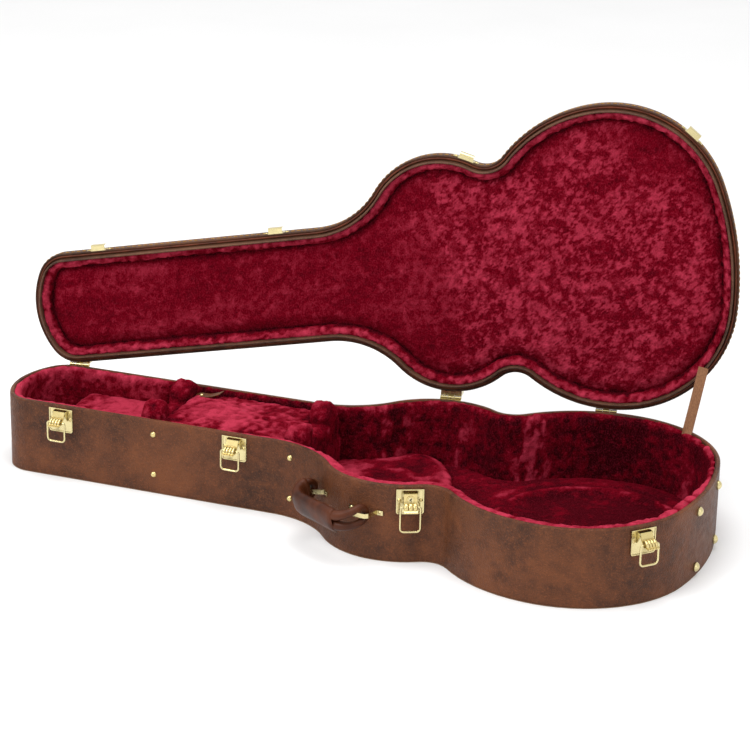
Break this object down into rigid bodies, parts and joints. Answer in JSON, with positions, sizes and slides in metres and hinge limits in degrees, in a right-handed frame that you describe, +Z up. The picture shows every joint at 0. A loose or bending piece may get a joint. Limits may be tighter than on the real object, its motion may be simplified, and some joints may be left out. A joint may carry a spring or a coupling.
{
  "type": "guitar case",
  "caption": "Open hard-shell guitar case with plush-lined base and hinged lid, draw latches, lock, leather handle and accessory compartment.",
  "frame": {"origin": "on the bottom face, at mid length and mid width of the guitar outline; Z = 0 is the floor", "axes": "+X along the hinge line towards the butt end, +Y to the hinge side, +Z up"},
  "size_m": [1.1522, 0.5455, 0.614],
  "materials": {
    "board": "plain plywood",
    "vinyl_cover": "pebble-grained brown vinyl, semi-matt",
    "edge_binding": "dark brown stitched vinyl edge",
    "tongue": "taupe brown vinyl over a stiff strip",
    "plush": "crimson long-pile plush",
    "lined_board": "board lined with crimson plush",
    "handle_leather": "smooth brown leather",
    "strap_webbing": "tan-brown strap",
    "tab_leather": "tan leather",
    "brass": "polished brass plate"
  },
  "bodies": {
    "base": {"base_wall": "board", "base_panel": "board", "base_wall_cover": "vinyl_cover", "base_bottom_cover": "vinyl_cover", "base_rim_trim": "vinyl_cover", "base_wall_lining": "plush", "body_floor_pad": "plush", "upper_bout_pad": "plush", "head_floor_pad": "plush", "cradle_head": "plush", "cradle_body": "plush", "accessory_tray": "lined_board", "partition_rivets": "brass", "butt_feet": "brass", "handle_bracket_left": "brass", "handle_bracket_right": "brass", "handle_screws": "brass", "latch_plate_head": "brass", "latch_plate_neck": "brass", "latch_plate_lock": "brass", "latch_plate_butt": "brass", "latch_rivets": "brass", "latch_pins": "brass", "hinge_base_leaves": "brass", "hinge_pins": "brass", "stay_strap": "strap_webbing"},
    "lid": {"lid_wall": "board", "lid_panel": "board", "lid_wall_cover": "vinyl_cover", "lid_top_cover": "vinyl_cover", "lid_binding": "edge_binding", "lid_bead": "edge_binding", "lid_tongue": "tongue", "lid_wall_lining": "plush", "lid_panel_lining": "plush", "lid_catches": "brass", "catch_rivets": "brass", "hinge_lid_leaves": "brass", "strap_lid_rivet": "brass"},
    "handle": {"handle_loop": "handle_leather", "handle_sleeve": "handle_leather"},
    "lock_plug": {"lock_plug": "brass"},
    "accessory_lid": {"accessory_board": "lined_board", "accessory_plush": "plush", "pull_tab": "tab_leather", "tab_rivet": "brass"},
    "lever_head": {"lever_head": "brass"},
    "bail_head": {"bail_head": "brass"},
    "lever_neck": {"lever_neck": "brass"},
    "bail_neck": {"bail_neck": "brass"},
    "lever_lock": {"lever_lock": "brass"},
    "bail_lock": {"bail_lock": "brass"},
    "lever_butt": {"lever_butt": "brass"},
    "bail_butt": {"bail_butt": "brass"}
  },
  "joints": [
    {"name": "lid_hinge", "type": "hinge", "parent": "base", "child": "lid", "pos_m": [0, 0.18205, 0.122], "axis": [1, 0, 0], "range_deg": [0, 92.5], "deforming": ["stay_strap"]},
    {"name": "handle_swing", "type": "hinge", "parent": "base", "child": "handle", "pos_m": [0.01841, -0.18918, 0.077], "axis": [-0.7681, 0.6403, 0], "range_deg": [-40, 80]},
    {"name": "lever_head_lift", "type": "hinge", "parent": "base", "child": "lever_head", "pos_m": [-0.46339, -0.0184, 0.11], "axis": [-0.9854, 0.1702, 0], "range_deg": [-20, 80]},
    {"name": "bail_head_swing", "type": "hinge", "parent": "lever_head", "child": "bail_head", "pos_m": [-0.46555, -0.03089, 0.09936], "axis": [0.9854, -0.1702, 0], "range_deg": [-195, 0]},
    {"name": "lever_neck_lift", "type": "hinge", "parent": "base", "child": "lever_neck", "pos_m": [-0.16649, -0.06968, 0.11], "axis": [-0.9854, 0.1702, 0], "range_deg": [-20, 80]},
    {"name": "bail_neck_swing", "type": "hinge", "parent": "lever_neck", "child": "bail_neck", "pos_m": [-0.16865, -0.08218, 0.09936], "axis": [0.9854, -0.1702, 0], "range_deg": [-195, 0]},
    {"name": "lever_lock_lift", "type": "hinge", "parent": "base", "child": "lever_lock", "pos_m": [0.13911, -0.21191, 0.11], "axis": [-0.9613, -0.2756, 0], "range_deg": [0, 105]},
    {"name": "bail_lock_swing", "type": "hinge", "parent": "lever_lock", "child": "bail_lock", "pos_m": [0.14103, -0.21864, 0.093], "axis": [0.9613, 0.2756, 0], "range_deg": [-191, 0]},
    {"name": "lock_turn", "type": "hinge", "parent": "lever_lock", "child": "lock_plug", "pos_m": [0.14021, -0.21576, 0.104], "axis": [0.2756, -0.9613, 0], "range_deg": [0, 90]},
    {"name": "lever_butt_lift", "type": "hinge", "parent": "base", "child": "lever_butt", "pos_m": [0.48928, -0.27336, 0.11], "axis": [-0.776, -0.6307, 0], "range_deg": [-20, 80]},
    {"name": "bail_butt_swing", "type": "hinge", "parent": "lever_butt", "child": "bail_butt", "pos_m": [0.49728, -0.2832, 0.09936], "axis": [0.776, 0.6307, 0], "range_deg": [-195, 0]},
    {"name": "accessory_lid_lift", "type": "hinge", "parent": "base", "child": "accessory_lid", "pos_m": [-0.19495, -0.04467, 0.114], "axis": [-0.9854, 0.1702, 0], "range_deg": [-95, 0]}
  ]
}
